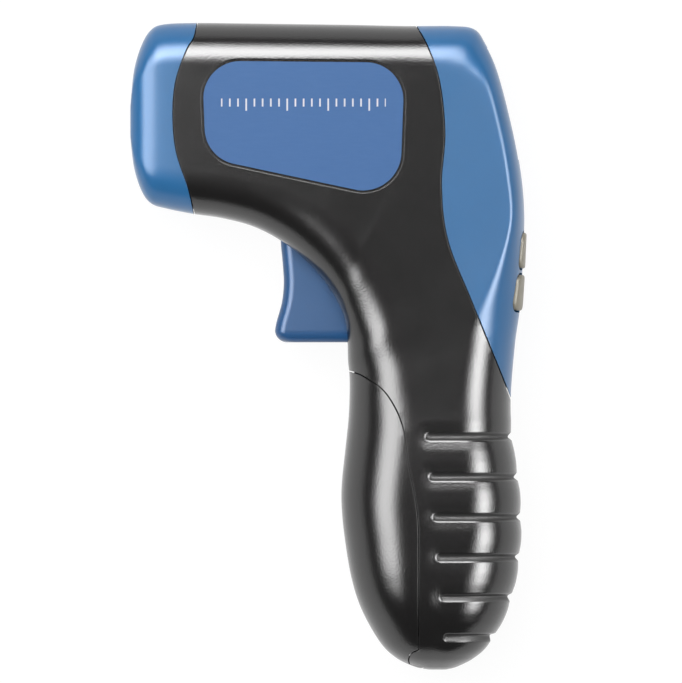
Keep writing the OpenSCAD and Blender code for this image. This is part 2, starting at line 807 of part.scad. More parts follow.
module display_board() {
  color(board_green) lifted() on_display() difference() {
    block([glow_back - board_thick, -display_board_height / 2, -display_board_width / 2],
      [glow_back, display_board_height / 2, display_board_width / 2]);
    for (sy = [-1, 1], sz = [-1, 1]) translate([glow_back - 5, sy * display_screw_y, sz * display_screw_z])
      rotate([0, 90, 0]) cylinder(r = small_screw_r + clearance, h = 10);
  }
}

module nose_plate() {
  color("#1d1d1f") lifted() difference() {
    along_x(plate_front, axis_y) rotate_extrude()
      polygon([[lens_r + running, plate_thick], [lens_r + running, plate_thick / 2],
        [lens_r + plate_chamfer, 0], [plate_r, 0], [plate_r, plate_thick]]);
    along_x(plate_front - 1, laser_y) cylinder(r = laser_r - laser_rim, h = plate_thick + 2);
  }
}

// Plano-convex lens on the front of the tube
lens_bulge = 2.6;
lens_edge = 1.4;
lens_curve_r = (lens_r * lens_r + lens_bulge * lens_bulge) / (2 * lens_bulge);
module receiver_lens() {
  color("#a7b9cc") lifted() along_x(plate_back, axis_y) mirror([0, 0, 1]) {
    cylinder(r = lens_r, h = lens_edge);
    translate([0, 0, lens_edge]) intersection() {
      translate([0, 0, lens_bulge - lens_curve_r]) sphere(lens_curve_r, $fn = 96);
      cylinder(r = lens_r, h = lens_bulge);
    }
  }
}

photodiode_r = 2.5;
photodiode_len = 4;
photodiode_rim = [0.4, 1];
module lens_barrel() {
  color("#232325") lifted() difference() {
    along_x(plate_back, axis_y) cylinder(r = tube_r, h = tube_len);
    along_x(plate_back - 1, axis_y) cylinder(r = lens_r - tube_seat, h = tube_len - tube_base + 1);
    along_x(plate_back, axis_y) cylinder(r = photodiode_r + running, h = tube_len + 2);
  }
}

module photodiode() {
  color("#3a2a35") lifted() {
    along_x(tube_end - photodiode_len, axis_y)
      cylinder(r = photodiode_r, h = photodiode_len + photodiode_rim[1] / 2);
    along_x(tube_end, axis_y) cylinder(r = photodiode_r + photodiode_rim[0], h = photodiode_rim[1]);
  }
}

module laser_module() {
  color("#b79a4f") lifted() difference() {
    along_x(plate_back, laser_y) cylinder(r = laser_r, h = laser_len);
    along_x(plate_back - 1, laser_y) cylinder(r = laser_r - laser_wall, h = laser_bore + 1);
  }
}

module main_board() {
  color(board_green) lifted() difference() {
    block([board_low.x, board_low.y, board_top - board_thick], [board_high.x, board_high.y, board_top]);
    for (p = standoff_spots) translate([p.x, p.y, board_top - 5])
      cylinder(r = small_screw_r + clearance, h = 10);
  }
}

module controller_chip() {
  spot = (board_low + board_high) / 2;
  color("#202124") lifted() translate([spot.x - chip_size.x / 2, spot.y - chip_size.y / 2, board_top])
    cube(chip_size);
}

module small_screw() {
  cylinder(r = small_head_r, h = small_head_h);
  translate([0, 0, -small_screw_len]) cylinder(r = small_screw_r, h = small_screw_len + lap);
}

module board_screws() {
  color(steel) lifted() {
    for (p = standoff_spots) translate([p.x, p.y, board_top]) small_screw();
    on_display() for (sy = [-1, 1], sz = [-1, 1])
      translate([glow_back - board_thick, sy * display_screw_y, sz * display_screw_z])
        rotate([0, -90, 0]) small_screw();
    on_keys() for (sy = [-1, 1]) translate([key_board_front - board_thick, sy * key_screw_y, 0])
      rotate([0, -90, 0]) small_screw();
  }
}

module housing_screws() {
  color(steel) lifted() for (p = screw_spots) translate([p.x, p.y, 0]) {
    translate([0, 0, screw_seat_z - screw_head_h]) cylinder(r = screw_head_r, h = screw_head_h);
    translate([0, 0, screw_seat_z - lap]) cylinder(r = screw_r, h = screw_tip_z - screw_seat_z);
  }
}

module battery() {
  color("#3b3f45") lifted() {
    on_battery(0) linear_extrude(height = battery_len) battery_outline(0);
    for (k = [0, 1]) on_battery(battery_len - lap) translate([(k - 0.5) * terminal_gap, 0, 0])
      cylinder(r = terminal_rs[k], h = terminal_h + lap);
  }
}

module battery_clip() {
  color("#202124") lifted() difference() {
    on_battery(battery_len + clip_gap) linear_extrude(height = clip_thick)
      round_rect(battery_width - clip_step, battery_thick - clip_step, battery_round);
    for (k = [0, 1]) on_battery(battery_len - 1) translate([(k - 0.5) * terminal_gap, 0, 0])
      cylinder(r = terminal_rs[k] + clip_gap, h = terminal_h + 1.2);
  }
}

// Two leads from the clip up to the main board
lead_r = 0.7;
lead_gap = 2.2;
module battery_leads() {
  start_y = clip_top + clearance;
  rise = board_low.y - start_y;
  color("#8a2f2f") lifted() for (side = [0, 1]) {
    shift = side * lead_gap;
    path = [
      [battery_spot.x + 7, start_y, shift],
      [battery_spot.x + 9, start_y + 0.16 * rise, shift - 3],
      [battery_spot.x + 9, start_y + 0.46 * rise, shift - 8],
      [battery_spot.x + 4, start_y + 0.74 * rise, shift - 9],
      [board_high.x - 4 - shift, board_low.y - 6, board_top + 2.4 + shift / 2],
      [board_high.x - 6 - 2 * shift, board_low.y + 3, board_top + lead_r]
    ];
    rod(curve(path, 3), lead_r, 6, [0, 0, 1]);
  }
}

module door_pin() {
  color(steel) lifted() translate([hinge.x, hinge.y, lap - lug_half])
    cylinder(r = door_pin_r, h = 2 * (lug_half - lap));
}

left_housing();
right_housing();
front_bezel();
rear_cover();
battery_door();
side_label();
trigger();
trigger_pin();
trigger_spring();
trigger_switch();
key_upper_left();
key_upper_right();
key_lower_left();
key_lower_right();
key_board();
key_switches();
display_window();
lcd_panel();
backlight();
display_board();
nose_plate();
receiver_lens();
lens_barrel();
photodiode();
laser_module();
main_board();
controller_chip();
board_screws();
housing_screws();
battery();
battery_clip();
battery_leads();
door_pin();
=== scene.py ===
import json
import math

import bmesh
import bpy
import numpy as np
from mathutils import Matrix, Vector
from mathutils.bvhtree import BVHTree

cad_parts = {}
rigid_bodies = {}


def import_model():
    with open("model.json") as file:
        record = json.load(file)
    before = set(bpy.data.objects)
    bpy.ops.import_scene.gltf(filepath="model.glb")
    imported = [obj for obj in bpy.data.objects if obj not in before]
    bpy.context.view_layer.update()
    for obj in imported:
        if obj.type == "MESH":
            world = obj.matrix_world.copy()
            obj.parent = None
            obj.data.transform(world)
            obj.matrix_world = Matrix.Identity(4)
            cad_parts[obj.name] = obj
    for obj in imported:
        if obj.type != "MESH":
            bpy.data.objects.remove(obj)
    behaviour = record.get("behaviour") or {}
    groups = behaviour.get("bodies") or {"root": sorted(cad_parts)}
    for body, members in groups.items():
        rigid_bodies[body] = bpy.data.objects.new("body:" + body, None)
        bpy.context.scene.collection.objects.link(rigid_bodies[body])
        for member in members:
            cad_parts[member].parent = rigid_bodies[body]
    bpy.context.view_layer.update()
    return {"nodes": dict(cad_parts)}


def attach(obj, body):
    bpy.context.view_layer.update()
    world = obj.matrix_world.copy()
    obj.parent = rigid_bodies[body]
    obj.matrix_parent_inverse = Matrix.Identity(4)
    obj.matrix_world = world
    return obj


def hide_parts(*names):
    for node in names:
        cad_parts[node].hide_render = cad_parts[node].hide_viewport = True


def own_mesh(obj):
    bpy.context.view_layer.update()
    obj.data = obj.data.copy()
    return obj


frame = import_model()

# Sizes in millimetres, as in the CAD model. Heights count from the middle plane between the halves.
MM = 0.001
HALF_W = 22.0
NOSE, REAR = -51.7, 51.7
TOP, FOOT = 85.0, -85.0
BACK = REAR - 0.7
FRONT = BACK - 47.3
WALL = 2.4
SEAM_GAP = 0.3
LIP_LEN = 3.0
LIP_IN = 1.3
STEP_OUT = 1.0
CLEARANCE = 0.2
FAR = 60.0
BEYOND = 10.0

# Front point, rear point, half width, front round, rear round, side round
STATIONS = [
    [NOSE, TOP - 30.6, NOSE, TOP - 21.3, HALF_W - 5, 1.4, 1.4, 4],
    [NOSE + 0.9, TOP - 37.9, NOSE + 0.9, TOP - 12.6, HALF_W - 3, 4, 4, 6],
    [NOSE + 2.7, TOP - 43.7, NOSE + 2.7, TOP - 6.3, HALF_W - 1.4, 8, 8, 8.5],
    [NOSE + 5.1, TOP - 47.2, NOSE + 5.1, TOP - 2.1, HALF_W - 0.5, 10, 10, 10.5],
    [NOSE + 9.1, TOP - 48.6, NOSE + 8.5, TOP - 0.4, HALF_W - 0.1, 10.5, 10.5, 11.5],
    [NOSE + 16.7, TOP - 50.1, NOSE + 17, TOP, HALF_W, 10.5, 10.5, 12],
    [NOSE + 23.6, TOP - 51.1, NOSE + 28.8, TOP - 0.1, HALF_W, 10.5, 10.5, 12],
    [FRONT - 23.7, TOP - 53.2, NOSE + 43.3, TOP - 0.3, HALF_W, 11, 10.5, 12],
    [FRONT - 16.3, TOP - 56.9, REAR - 45.4, TOP - 0.5, HALF_W, 12, 10.5, 12],
    [FRONT - 10.3, TOP - 61.6, REAR - 30.9, TOP - 0.8, HALF_W, 13, 10.5, 12],
    [FRONT - 5.6, TOP - 66.4, REAR - 19, TOP - 0.8, HALF_W - 0.2, 13.5, 11.5, 12],
    [FRONT - 3.2, TOP - 69.8, REAR - 13.2, TOP - 1.6, HALF_W - 0.5, 14, 12, 12],
    [FRONT - 1.6, TOP - 72.2, REAR - 10.3, TOP - 5.3, HALF_W - 0.8, 14, 9.5, 11],
    [FRONT - 0.2, TOP - 75, REAR - 7.1, TOP - 12.6, HALF_W - 1, 14, 6, 10],
    [FRONT + 0.8, TOP - 77.8, REAR - 3.7, TOP - 25.3, HALF_W - 1.2, 14, 5.2, 10],
    [FRONT + 1.4, TOP - 81.2, REAR - 1.1, TOP - 37.9, HALF_W - 1.4, 14, 5.2, 11],
    [FRONT + 1.6, TOP - 84.6, REAR, TOP - 49, HALF_W - 1.5, 14, 5.2, 12.5],
    [FRONT + 1.7, TOP - 88.8, REAR - 0.2, TOP - 59.6, HALF_W - 1.5, 14, 8.5, 14],
    [FRONT + 2.1, TOP - 93, REAR - 1, TOP - 74.1, HALF_W - 1.5, 15, 14.5, 15.5],
    [FRONT + 2.1, TOP - 98.3, REAR - 2.4, TOP - 84.6, HALF_W - 1.3, 16, 14.5, 16],
    [FRONT + 1.8, FOOT + 65.6, BACK - 2.8, FOOT + 70.9, HALF_W - 1, 17, 14, 16.5],
    [FRONT + 1, FOOT + 58, BACK - 2.2, FOOT + 60.4, HALF_W - 0.5, 17, 14, 17],
    [FRONT + 0.1, FOOT + 49.5, BACK - 0.6, FOOT + 49.8, HALF_W - 0.1, 17, 14, 17.5],
    [FRONT, FOOT + 43.2, BACK, FOOT + 40.6, HALF_W, 17, 14, 17.5],
    [FRONT + 0.8, FOOT + 34.8, BACK - 0.1, FOOT + 32.7, HALF_W - 0.1, 17, 14, 17.5],
    [FRONT + 2.6, FOOT + 24.2, BACK - 1.2, FOOT + 24.2, HALF_W - 0.7, 16, 14, 17],
    [FRONT + 5.3, FOOT + 15.8, BACK - 3.5, FOOT + 15.8, HALF_W - 2.5, 14, 13, 16],
    [FRONT + 10, FOOT + 7.4, BACK - 7.8, FOOT + 7.4, HALF_W - 6.5, 11, 10.5, 13],
    [FRONT + 14.2, FOOT + 3.2, BACK - 12.2, FOOT + 3.2, HALF_W - 10.5, 8, 8, 9.5],
    [FRONT + 19, FOOT + 0.8, BACK - 16.7, FOOT + 0.8, HALF_W - 15.5, 4.5, 4.5, 5.5],
    [FRONT + 22.7, FOOT, BACK - 19.6, FOOT, HALF_W - 19, 1.5, 1.5, 2.5],
]

# Stations at which the mouldings, hollows and lips start and end
LAST = len(STATIONS) - 1
BEZEL_STATIONS = (3, 6)
COVER_STATIONS = (9, 21)
CAVITY_STATIONS = (2, LAST - 2)
LIP_STATIONS = (3, LAST - 1)
DOOR_FIRST = 17
SILL_FIRST = 24
GRIP_FIRST = 19

# Limits that keep each section of the body well formed
LEAST_SQUARENESS = 0.6
LEAST_ROUND = 0.6
LARGEST_SHARE = 0.48
LEAST_EDGE = 0.2
SLOPE_REACH = 0.5

# How finely the body is divided: between stations, round each corner, across each flat and edge
BODY_STEPS, GRIP_STEPS = 12, 30
OUTER_ARC, OUTER_FLAT, OUTER_EDGE = 14, 40, 4
INNER_STEPS, INNER_ARC = 6, 8
SEAM_STEPS = 16
FINE_ROUND = 96

# Points that the seams curve through, seen from the side
NOSE_SEAM = [(NOSE + x, TOP + y) for x, y in [
    (17.8, 4), (17.4, -0.5), (16.6, -4.1), (14.7, -7.4), (11.9, -15.6), (11.2, -24.5), (12.1, -34),
    (15.2, -43.5), (16.7, -50.4), (17.3, -56)]]
REAR_SEAM = [(REAR + x, TOP + y) for x, y in [
    (-30.5, 4), (-28.4, -0.7), (-25.4, -6.3), (-22.3, -15.5), (-20.9, -29), (-21.8, -43), (-20.1, -57.2),
    (-13.8, -73.3), (-6.5, -91.1), (-2, -102.5)]]
DOOR_SEAM = [(FRONT + x, FOOT + y) for x, y in [
    (-4, 79.6), (2.2, 78.5), (6.4, 76.8), (11.8, 72.5), (15.9, 64.6), (17.6, 54), (19.9, 41), (20.2, 28),
    (20.2, 14), (20.2, -4)]]

# Each moulding's seam, and a place beyond the moulding on its side of the seam
SEAMS = {
    "bezel": (NOSE_SEAM, NOSE - BEYOND),
    "cover": (REAR_SEAM, REAR + BEYOND),
    "door": (DOOR_SEAM, FRONT - BEYOND),
}

# Grip grooves, from the lowest up
GROOVE_COUNT = 6
GROOVE_LEFT = FRONT + 27.8
GROOVE_LEAN = 0.95
GROOVE_LOW = FOOT + 8.4
GROOVE_PITCH = 10.6
GROOVE_DEPTH = 0.95
GROOVE_REACH = 1.25
LOBE_DEPTH = 0.35
LOBE_REACH = 4.5

# Optical port
AXIS_Y = TOP - 25.5
PORT_R = 15.5
PORT_START, PORT_LENGTH = NOSE - 5, 20.0
PLATE_FRONT = NOSE + 4.4
PLATE_R = 18.3
PLATE_BACK = PLATE_FRONT + 2
LASER_Y = AXIS_Y - 13.5
TUBE_START = NOSE + 5
TUBE_R, TUBE_LENGTH = 9.75, 45.0
LASER_R, LASER_LENGTH = 3.55, 40.0
TUBE_RIB = NOSE + 21.5

# Battery door and battery
HINGE = (FRONT + 20.2, FOOT + 2.6)
HINGE_GAP = 0.3
KNUCKLE_R = 2.4
KNUCKLE_HALF = 4.5
KNUCKLE_WEB, WEB_RISE = 2.0, 1.0
DOOR_PIN_R, DOOR_PIN_HALF = 0.85, 7.5
DOOR_FOOT_TOP = FOOT + 8
SILL_IN, SILL_REACH, SILL_DEPTH = 0.5, 0.12, 1.0
SILL_TOP = FOOT + 9
BATTERY = (FRONT + 22.3, FOOT + 18)
BATTERY_SIZE = (26.9, 17.9, 46.0)
CLIP_ROOM = 10.0
RIB = 1.6
RIB_FRONT = HINGE[0] + 2
BATTERY_RIBS = (-RIB, 8, 36)

# Trigger and its spring
PIVOT = (FRONT - 11.5, TOP - 52)
PIN_R, PIN_HALF = 1.55, 13.5
TRIGGER_BOSS_R = 4.3
TRIGGER_HALF = 7.5
TRIGGER_ROUND = 3.0
TRIGGER_TOE, TOE_TAPER = 3.2, 0.8
TRIGGER_STEPS, TRIGGER_ARC = 8, 11
TRIGGER_FRONT = [(FRONT + x, TOP + y) for x, y in [
    (-15.6, -54), (-16, -57.2), (-15.5, -63), (-15.2, -68.3), (-15.7, -73.4), (-17.1, -78.5),
    (-17.5, -80.7)]]
TRIGGER_LOW = TRIGGER_FRONT[-1][1] - TRIGGER_TOE
BACK_TOP, BACK_LOW = (FRONT - 3, TOP - 54), (FRONT + 5, TOP - 83.9)
NECK_DROP, NECK_IN, NECK_RISE, NECK_DEEP = 0.3, 1.0, 0.2, 4.0
SLOT_GAP = 0.5
SLOT_BACK_TOP, SLOT_BACK_LOW = FRONT + 4, FRONT + 12
SPRING_Y = TOP - 63
SPRING_LENGTH = 8.0
SPRING_R, WIRE_R = 2.15, 0.35
SPRING_TURNS, SPRING_KEEP = 6, 0.7
TURN_STEPS, WIRE_SIDES = 32, 12

# Screws, with what holds them
SCREWS = [(NOSE + 25, TOP - 45.2), (REAR - 31, TOP - 6.6), (BACK - 23.6, FOOT + 77),
          (BACK - 19.8, FOOT + 11)]
BOSS_R = 3.2
HEAD_R, SHANK_R, THREAD_R = 2.9, 1.4, 1.22
HEAD_SEAT, THREAD_START, THREAD_END = -13.0, -1.0, 9.0
STANDOFFS = [(NOSE + 34.5, TOP - 12.5), (REAR - 40, TOP - 39.5)]
STANDOFF_R = 2.6
STANDOFF_LOW, STANDOFF_HIGH = 0.5 - HALF_W, -13.0

# Label
RECESS, RECESS_OUT = 0.7, 2.0
RECESS_FLAT = math.radians(0.5)
LABEL_CIRCLES = [(NOSE + 28.8, TOP - 19.8, 10.3), (NOSE + 29.1, TOP - 27.7, 10.3),
                 (REAR - 41.6, TOP - 20.3, 10.5), (REAR - 42.4, TOP - 34, 10.8)]
TICK_PITCH, TICK_SHARE, LONG_EVERY = 2.15, 0.2, 5
TICK_TOP, TICK_FOOT, LONG_FOOT = TOP - 20, TOP - 22.1, TOP - 23.2
SCALE_MIDDLE, SCALE_HALF = -6.3, 21.6

# Display
DISPLAY_SPOT, DISPLAY_TILT = (REAR - 5, TOP - 21.1), math.radians(14.8)
WINDOW = (27.0, 22.0)
PANE_EDGE, PANE_BACK = 1.8, -2.1
LCD_FRONT = -3.4
DIGIT_COUNT, DIGIT_PITCH, DIGIT_LEAN = 5, 3.9, 0.1
DIGIT_SIZE, DIGIT_RISE = (2.5, 6.4), 2.5
BAR_WIDTH, BAR_GAP, BAR_RAISED = 0.55, 0.12, 0.04

# Keys
KEY_SPOT, KEY_TILT = (REAR - 1, TOP - 65.3), math.radians(-4)
KEY_SIZE, KEY_CORNER = (9.4, 9.0), 2.8
KEY_PITCH, KEY_SIDE, KEY_PROUD, KEY_EDGE, KEY_GAP = 11.1, 8.6, 0.7, 0.6, 0.5
KEY_BASE, KEY_ABOVE = -5.2, 20.0
KEY_EDGE_STEPS = 7
KEY_TOP_SHARES = (0.75, 0.5, 0.25, 0.06)
KEY_HOLE_IN, KEY_HOLE_LENGTH = -8.0, 20.0

FACING_X = Matrix.Rotation(math.pi / 2, 4, "Y")
DISPLAY_FRAME = Matrix.Translation((*DISPLAY_SPOT, 0)) @ Matrix.Rotation(DISPLAY_TILT, 4, "Z")
KEY_FRAME = Matrix.Translation((*KEY_SPOT, 0)) @ Matrix.Rotation(KEY_TILT, 4, "Z")


def unit(v):
    return v / np.linalg.norm(v, axis=-1, keepdims=True)


def curve(points, s):
    """Smooth curve through a list of rows, at the places s along it."""
    p = np.asarray(points, float)
    s = np.asarray(s, float)
    i = np.minimum(s.astype(int), len(p) - 2)
    t = (s - i)[:, None]
    a, b, c, d = (p[np.clip(i + k, 0, len(p) - 1)] for k in (-1, 0, 1, 2))
    bend = (2 * a - 5 * b + 4 * c - d) * t**2
    twist = (3 * b - a - 3 * c + d) * t**3
    return 0.5 * (2 * b + (c - a) * t + bend + twist)


def places(first, last, steps):
    return np.linspace(first, last, int((last - first) * steps) + 1)


def rings(inset, s, arc, flat, edge):
    """Closed sections of the body, set in from the outside: one row of points for each place s."""
    rows = curve(STATIONS, s)
    before = curve(STATIONS, np.maximum(0, s - SLOPE_REACH))
    after = curve(STATIONS, np.minimum(LAST, s + SLOPE_REACH))
    a, b = rows[:, 0:2], rows[:, 2:4]
    line = unit(b - a)

    def squareness(k):
        run = unit(after[:, k:k + 2] - before[:, k:k + 2])
        cross = abs(line[:, 0] * run[:, 1] - line[:, 1] * run[:, 0])
        return np.maximum(LEAST_SQUARENESS, cross)[:, None]

    def rounding(k, most):
        return np.minimum(most, np.maximum(LEAST_ROUND, rows[:, k:k + 1] - inset))

    a = a + line * inset / squareness(0)
    b = b - line * inset / squareness(2)
    length = np.linalg.norm(b - a, axis=1)[:, None]
    high = np.minimum(HALF_W, rows[:, 4:5]) - inset
    front, rear = (rounding(k, LARGEST_SHARE * length) for k in (5, 6))
    side = rounding(7, high - LEAST_EDGE)
    t = np.linspace(0, math.pi / 2, arc + 1)
    k = np.linspace(0, 1, flat + 1)[1:-1]
    e = np.linspace(0, 1, edge + 1)[:-1]
    none = np.zeros_like(length)
    along = np.hstack([none + 0 * e, front * (1 - np.cos(t)), front + k * (length - front - rear),
                       length - rear * (1 - np.cos(t[::-1])), length + 0 * e])
    up = np.hstack([e * (high - side), high - side + side * np.sin(t), high + 0 * k,
                    high - side + side * np.sin(t[::-1]), e[::-1] * (high - side)])
    flat_points = a[:, None, :] + line[:, None, :] * along[..., None]
    upper = np.concatenate([flat_points, up[..., None]], axis=2)
    lower = upper[:, -2:0:-1] * (1, 1, -1)
    return np.concatenate([upper, lower], axis=1)


def pressed(points):
    """The outer sections, pressed in along the grip grooves, with slightly pillowed lobes between them."""
    around = np.roll(points, -1, axis=1) - np.roll(points, 1, axis=1)
    normal = unit(np.cross(around, np.gradient(points, axis=0)))
    outwards = np.sum(normal * (points - points.mean(axis=1, keepdims=True)), axis=2).mean()
    normal *= np.sign(outwards)
    depth = np.zeros(points.shape[:2])
    for i in range(GROOVE_COUNT):
        short = np.maximum(0, GROOVE_LEFT - GROOVE_LEAN * i - points[..., 0])
        away = np.hypot(short, points[..., 1] - GROOVE_LOW - GROOVE_PITCH * i)
        for deep, reach in ((GROOVE_DEPTH, GROOVE_REACH), (LOBE_DEPTH, LOBE_REACH)):
            depth += deep * (0.5 + 0.5 * np.cos(math.pi * np.minimum(1, away / reach)))
    return points - normal * depth[..., None]


# Solids are made in millimetres about the middle plane, and become pieces at the end
scratch = bpy.data.collections.new("scratch")
bpy.context.scene.collection.children.link(scratch)


def stored(work):
    """A solid from a bmesh, which is used up."""
    mesh = bpy.data.meshes.new("solid")
    work.to_mesh(mesh)
    work.free()
    made = bpy.data.objects.new("solid", mesh)
    scratch.objects.link(made)
    return made


def skin(sections):
    """Solid through closed sections of equally many points, with flat ends."""
    m, n = sections.shape[:2]
    quads = [(i * n + j, i * n + (j + 1) % n, (i + 1) * n + (j + 1) % n, (i + 1) * n + j)
             for i in range(m - 1) for j in range(n)]
    caps = [tuple(range(n - 1, -1, -1)), tuple(range((m - 1) * n, m * n))]
    mesh = bpy.data.meshes.new("sections")
    mesh.from_pydata([tuple(v) for v in sections.reshape(-1, 3)], [], quads + caps)
    work = bmesh.new()
    work.from_mesh(mesh)
    bpy.data.meshes.remove(mesh)
    bmesh.ops.recalc_face_normals(work, faces=work.faces)
    return stored(work)


def loft(inset, first, last, steps=4, arc=6, flat=4, edge=2):
    """The body between two stations, set in from the outside."""
    return skin(rings(inset, places(first, last, steps), arc, flat, edge))


def prism(outline, low=-FAR, high=FAR):
    """Straight solid on an outline seen from the side."""
    flat = np.asarray(outline, float)
    return skin(np.array([np.column_stack([flat, np.full(len(flat), z)]) for z in (low, high)]))


def box(low, high):
    (x0, y0, z0), (x1, y1, z1) = low, high
    return prism([(x0, y0), (x1, y0), (x1, y1), (x0, y1)], z0, z1)


def circle(x, y, r, count=64):
    turn = np.linspace(0, 2 * math.pi, count, endpoint=False)
    return np.column_stack([x + r * np.cos(turn), y + r * np.sin(turn)])


def round_rect(width, height, r, steps=8):
    """Outline of a rectangle with round corners, about its middle."""
    turn = np.linspace(0, math.pi / 2, steps + 1)
    corner = np.column_stack([np.cos(turn), np.sin(turn)]) * r
    quarter_turn = np.array([[0, 1], [-1, 0]])
    out = []
    for x, y in ((1, 1), (-1, 1), (-1, -1), (1, -1)):
        out.append(np.array([x * (width / 2 - r), y * (height / 2 - r)]) + corner)
        corner = corner @ quarter_turn
    return np.vstack(out)


def post(spot, r, low=-FAR, high=FAR):
    return prism(circle(*spot, r), low, high)


def moved(made, matrix):
    made.data.transform(matrix)
    return made


def along_x(x, y, r, length):
    """Round bar from a given place towards the display."""
    bar = prism(circle(0, 0, r, FINE_ROUND), 0, length)
    return moved(bar, Matrix.Translation((x, y, 0)) @ FACING_X)


def joined(base, tool, operation):
    """The base, changed by the tool, which is used up."""
    change = base.modifiers.new("change", "BOOLEAN")
    change.operation = operation
    change.solver = "MANIFOLD"
    change.object = tool
    made = bpy.data.meshes.new_from_object(base.evaluated_get(bpy.context.evaluated_depsgraph_get()))
    base.modifiers.clear()
    base.data = made
    bpy.data.objects.remove(tool)
    return base


def cut(base, *tools):
    for tool in tools:
        joined(base, tool, "DIFFERENCE")
    return base


def add(base, *tools):
    for tool in tools:
        joined(base, tool, "UNION")
    return base


def shared(base, tool):
    return joined(base, tool, "INTERSECT")


def copied(made):
    twin = made.copy()
    twin.data = made.data.copy()
    scratch.objects.link(twin)
    return twin


def region(seam, far, grow):
    """What lies beyond a seam on the side of far, grown across the seam by a given amount."""
    line = curve(seam, places(0, len(seam) - 1, SEAM_STEPS))
    run = unit(np.gradient(line, axis=0))
    across = np.column_stack([run[:, 1], -run[:, 0]])
    across *= np.sign(np.sum(across[:, 0]) * (line[0][0] - far))
    line = line + across * grow
    return prism(np.vstack([line, [(far, line[-1][1]), (far, line[0][1])]]))


# The whole body, finer over the grip, and its surface for the keys to follow
OUTER_PLACES = np.concatenate([places(0, GRIP_FIRST, BODY_STEPS)[:-1],
                               places(GRIP_FIRST, LAST, GRIP_STEPS)])
outer = skin(pressed(rings(0, OUTER_PLACES, OUTER_ARC, OUTER_FLAT, OUTER_EDGE)))
outer_surface = BVHTree.FromPolygons([v.co for v in outer.data.vertices],
                                     [p.vertices for p in outer.data.polygons])


def moulding(seam, first, last):
    """A shell on one side of a seam, with the step that takes its neighbour's lip."""
    made = shared(copied(outer), region(*seam, -SEAM_GAP / 2))
    step = shared(loft(LIP_IN - CLEARANCE, first, last), region(*seam, STEP_OUT))
    cut(step, region(*seam, -LIP_LEN - CLEARANCE))
    return cut(made, step)


def front_bezel():
    made = moulding(SEAMS["bezel"], *BEZEL_STATIONS)
    behind_plate = box((PLATE_BACK + CLEARANCE, FOOT, -HALF_W), (REAR, TOP, HALF_W))
    hollow = shared(loft(WALL, *BEZEL_STATIONS), behind_plate)
    port = along_x(PORT_START, AXIS_Y, PORT_R, PORT_LENGTH)
    plate_seat = along_x(PLATE_FRONT - CLEARANCE, AXIS_Y, PLATE_R + CLEARANCE, PORT_LENGTH)
    return cut(made, hollow, port, plate_seat)


def key_place(row, side):
    return KEY_FRAME @ Matrix.Translation((0, row * KEY_PITCH / 2, side * KEY_SIDE))


def rear_cover():
    made = cut(moulding(SEAMS["cover"], *COVER_STATIONS), loft(WALL, *COVER_STATIONS))
    high, wide = WINDOW[0] / 2, WINDOW[1] / 2
    pane_high, pane_wide = high + PANE_EDGE, wide + PANE_EDGE
    pane = box((PANE_BACK, -pane_high, -pane_wide), (BEYOND, pane_high, pane_wide))
    opening = box((-2 * BEYOND, -high, -wide), (BEYOND, high, wide))
    cut(made, moved(pane, DISPLAY_FRAME), moved(opening, DISPLAY_FRAME))
    outline = round_rect(KEY_SIZE[1] + 2 * KEY_GAP, KEY_SIZE[0] + 2 * KEY_GAP, KEY_CORNER)
    through = Matrix.Translation((KEY_HOLE_IN, 0, 0)) @ FACING_X
    for row in (-1, 1):
        for side in (-1, 1):
            cut(made, moved(prism(outline, 0, KEY_HOLE_LENGTH), key_place(row, side) @ through))
    return made


def battery_door():
    made = moulding(SEAMS["door"], DOOR_FIRST, LAST - 1)
    cut(made, loft(WALL, DOOR_FIRST, LAST - 2), post(HINGE, KNUCKLE_R + HINGE_GAP))
    x, y = HINGE
    knuckle = post(HINGE, KNUCKLE_R, -KNUCKLE_HALF, KNUCKLE_HALF)
    web_start = (x - KNUCKLE_R - KNUCKLE_WEB, y - KNUCKLE_R, -KNUCKLE_HALF)
    add(knuckle, box(web_start, (x, y + WEB_RISE, KNUCKLE_HALF)))
    add(made, shared(knuckle, copied(outer)))
    sill_start = (x - SILL_DEPTH, y + KNUCKLE_R + HINGE_GAP, -FAR)
    sill = shared(loft(SILL_IN, SILL_FIRST, LAST), box(sill_start, (x + SILL_REACH, SILL_TOP, FAR)))
    add(made, cut(sill, loft(WALL, SILL_FIRST, LAST - 1)))
    return cut(made, post(HINGE, DOOR_PIN_R))


def cavity():
    """The hollow inside both halves, with the bosses and ribs left standing in it."""
    made = loft(WALL, *CAVITY_STATIONS, INNER_STEPS, INNER_ARC)
    for spot in SCREWS:
        cut(made, post(spot, BOSS_R))
    clear = TRIGGER_HALF + CLEARANCE
    cut(made, post(PIVOT, TRIGGER_BOSS_R, clear), post(PIVOT, TRIGGER_BOSS_R, -FAR, -clear))
    cut(made, box((TUBE_RIB, FOOT, -FAR), (TUBE_RIB + WALL, TOP, FAR)))
    x, y = BATTERY
    for rise in BATTERY_RIBS:
        cut(made, box((RIB_FRONT, y + rise, -FAR), (REAR, y + rise + RIB, FAR)))
    wide, thick, tall = BATTERY_SIZE
    room = box((x - wide / 2, y, -thick / 2), (x + wide / 2, y + tall + CLIP_ROOM, thick / 2))
    tube = along_x(TUBE_START, AXIS_Y, TUBE_R, TUBE_LENGTH)
    laser = along_x(TUBE_START, LASER_Y, LASER_R, LASER_LENGTH)
    return add(made, room, tube, laser)


